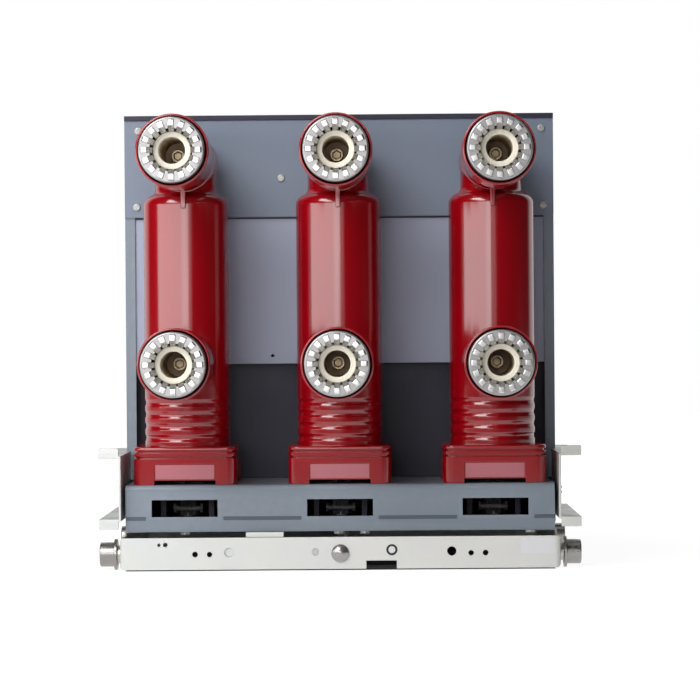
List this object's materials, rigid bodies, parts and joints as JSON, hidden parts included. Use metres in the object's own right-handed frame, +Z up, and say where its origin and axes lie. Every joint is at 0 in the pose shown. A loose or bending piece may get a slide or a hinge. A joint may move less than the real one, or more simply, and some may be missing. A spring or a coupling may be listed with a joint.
{
  "type": "vacuum circuit breaker",
  "caption": "Withdrawable indoor vacuum circuit breaker: red resin poles with sprung finger contacts, grey mechanism housing and a zinc-plated truck on wheels.",
  "frame": {"origin": "centre of the footprint box on the floor plane under the wheels", "axes": "+X to the right seen from the contact side, +Y from the contacts towards the operating front, +Z up"},
  "size_m": [0.652, 0.646, 0.626],
  "materials": {
    "red_resin": "glossy cast epoxy",
    "plated_copper": "silver-plated, satin",
    "spring_steel": "bare spring steel",
    "plated_arm": "plated, matt",
    "screw_steel": "zinc-plated steel",
    "grey_paint": "fine-textured powder coat",
    "drive_steel": "dark phosphated steel",
    "zinc_sheet": "bright zinc plate",
    "wheel_steel": "turned steel",
    "handle_black": "black",
    "button_plastic": "moulded",
    "indicator_plastic": "smoked window"
  },
  "bodies": {
    "breaker": {"arm_screws": "screw_steel", "arm_sleeves_left": "red_resin", "arm_sleeves_middle": "red_resin", "arm_sleeves_right": "red_resin", "base_deck": "grey_paint", "base_floor": "grey_paint", "base_posts": "grey_paint", "base_rear_wall": "grey_paint", "base_sides": "grey_paint", "base_spacer": "zinc_sheet", "charging_socket": "handle_black", "clevis_pins": "screw_steel", "contact_arms": "plated_arm", "contact_fingers_left": "plated_copper", "contact_fingers_middle": "plated_copper", "contact_fingers_right": "plated_copper", "crank_socket": "screw_steel", "drive_shaft": "drive_steel", "finger_cages": "plated_copper", "finger_springs": "spring_steel", "front_beam": "zinc_sheet", "front_cover": "grey_paint", "guide_bracket_left": "zinc_sheet", "guide_bracket_right": "zinc_sheet", "handles": "handle_black", "housing_sides": "grey_paint", "housing_top": "grey_paint", "indicators": "indicator_plastic", "lead_screw": "screw_steel", "pole_left": "red_resin", "pole_middle": "red_resin", "pole_right": "red_resin", "push_buttons": "button_plastic", "rear_lower_panel": "grey_paint", "rear_middle_panel": "grey_paint", "rear_upper_plate": "grey_paint", "rod_eyes": "drive_steel", "screw_cap": "screw_steel", "truck_rails": "zinc_sheet", "truck_rear_plate": "zinc_sheet", "wheel_axles": "screw_steel"},
    "rear_left_wheel": {"wheel_rear_left": "wheel_steel"},
    "rear_right_wheel": {"wheel_rear_right": "wheel_steel"},
    "front_left_wheel": {"wheel_front_left": "wheel_steel"},
    "front_right_wheel": {"wheel_front_right": "wheel_steel"}
  },
  "joints": [
    {"name": "rear_left_roll", "type": "hinge", "parent": "breaker", "child": "rear_left_wheel", "pos_m": [-0.314, -0.093, 0.021], "axis": [1, 0, 0], "continuous": true},
    {"name": "rear_right_roll", "type": "hinge", "parent": "breaker", "child": "rear_right_wheel", "pos_m": [0.314, -0.093, 0.021], "axis": [1, 0, 0], "continuous": true},
    {"name": "front_left_roll", "type": "hinge", "parent": "breaker", "child": "front_left_wheel", "pos_m": [-0.314, 0.235, 0.021], "axis": [1, 0, 0], "continuous": true},
    {"name": "front_right_roll", "type": "hinge", "parent": "breaker", "child": "front_right_wheel", "pos_m": [0.314, 0.235, 0.021], "axis": [1, 0, 0], "continuous": true}
  ]
}
